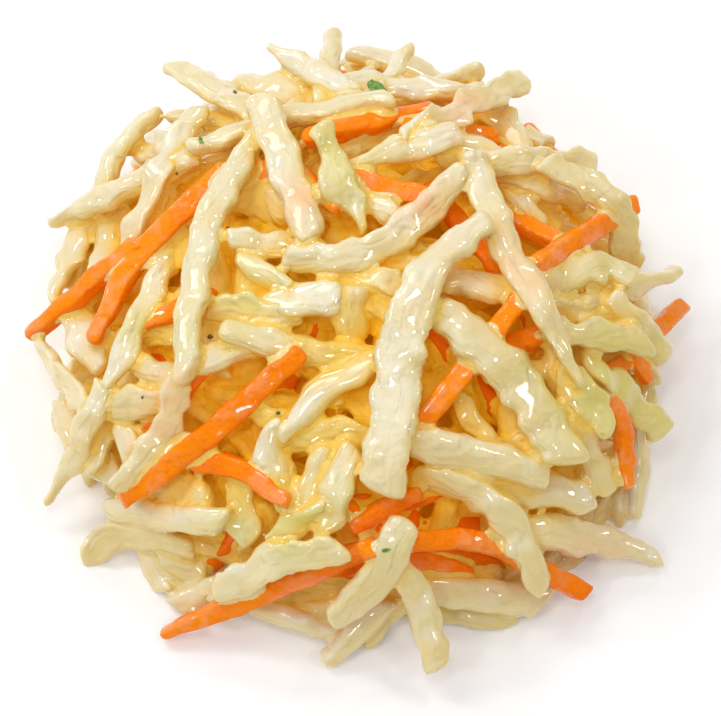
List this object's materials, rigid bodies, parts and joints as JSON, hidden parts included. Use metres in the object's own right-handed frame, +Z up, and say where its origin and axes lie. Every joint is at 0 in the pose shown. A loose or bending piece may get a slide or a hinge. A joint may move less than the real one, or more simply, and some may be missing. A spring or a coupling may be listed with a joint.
{
  "type": "coleslaw heap",
  "caption": "Loose heap of coleslaw: creamy dressed cabbage shreds and orange carrot sticks lying across each other on a flat surface.",
  "frame": {"origin": "middle of the heap's bounding box at the level of the surface that it lies on", "axes": "+Z up, -Y towards the side that the picture shows at the bottom, +X towards its right"},
  "size_m": [0.076, 0.0768, 0.03],
  "materials": {
    "dressed_shreds": "wet, creamy dressing on pale cabbage and orange carrot"
  },
  "bodies": {
    "root": {"slaw_heap": "dressed_shreds"}
  },
  "joints": []
}
